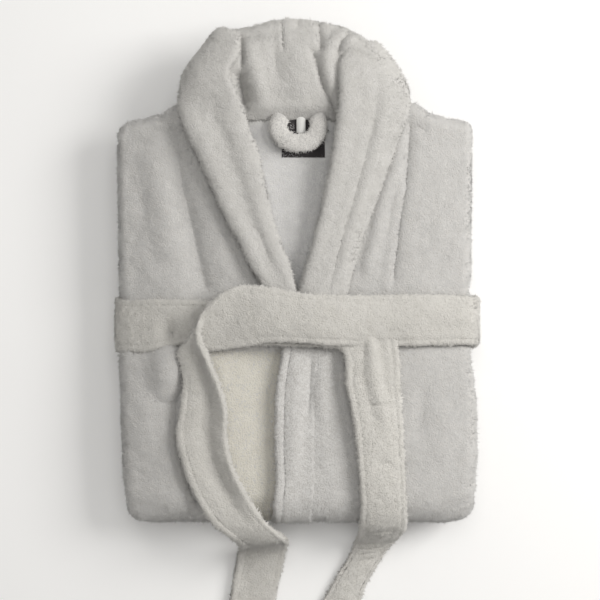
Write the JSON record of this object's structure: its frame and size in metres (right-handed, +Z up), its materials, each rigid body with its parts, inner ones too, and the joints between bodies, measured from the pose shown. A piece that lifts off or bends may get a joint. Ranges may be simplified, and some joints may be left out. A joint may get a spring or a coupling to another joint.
{
  "type": "folded bathrobe",
  "caption": "Plush terry bathrobe with a shawl collar, folded flat into a bundle and tied round with its own sash, whose two ends hang over the fold.",
  "frame": {"origin": "centre of the flat underside of the folded bundle, under the middle of the sash, on the surface it rests on", "axes": "+Z up out of the front of the robe, +Y from the skirt fold towards the collar, +X towards the wearer's left"},
  "size_m": [0.376, 0.683, 0.083],
  "materials": {
    "terry": "long-pile cotton terry, off-white",
    "label_satin": "black woven satin ribbon, blank",
    "white_tape": "white nylon tape, blank"
  },
  "bodies": {
    "robe": {"back_panel": "terry", "left_front_panel": "terry", "right_front_panel": "terry", "left_front_band": "terry", "right_front_band": "terry", "left_pocket": "terry", "right_pocket": "terry", "left_sleeve": "terry", "left_cuff": "terry", "right_sleeve": "terry", "right_cuff": "terry", "left_under_collar": "terry", "left_upper_collar": "terry", "right_under_collar": "terry", "right_upper_collar": "terry", "sash_band": "terry", "right_sash_run": "terry", "left_sash_run": "terry", "left_belt_carrier": "terry", "right_belt_carrier": "terry", "neck_label": "label_satin", "size_tab": "white_tape", "care_label": "white_tape"},
    "hanger_loop": {"hanger_loop": "terry"},
    "right_sash_end": {"right_sash_end": "terry"},
    "left_sash_end": {"left_sash_end": "terry"}
  },
  "joints": [
    {"name": "hanger_loop_lift", "type": "hinge", "parent": "robe", "child": "hanger_loop", "pos_m": [0.0015, 0.2063, 0.065], "axis": [-1, 0, 0], "range_deg": [0, 85]},
    {"name": "right_sash_lift", "type": "hinge", "parent": "robe", "child": "right_sash_end", "pos_m": [-0.036, -0.2093, 0.0316], "axis": [-1, 0, 0], "range_deg": [0, 80]},
    {"name": "left_sash_lift", "type": "hinge", "parent": "robe", "child": "left_sash_end", "pos_m": [0.086, -0.2093, 0.0316], "axis": [-1, 0, 0], "range_deg": [0, 80]}
  ]
}
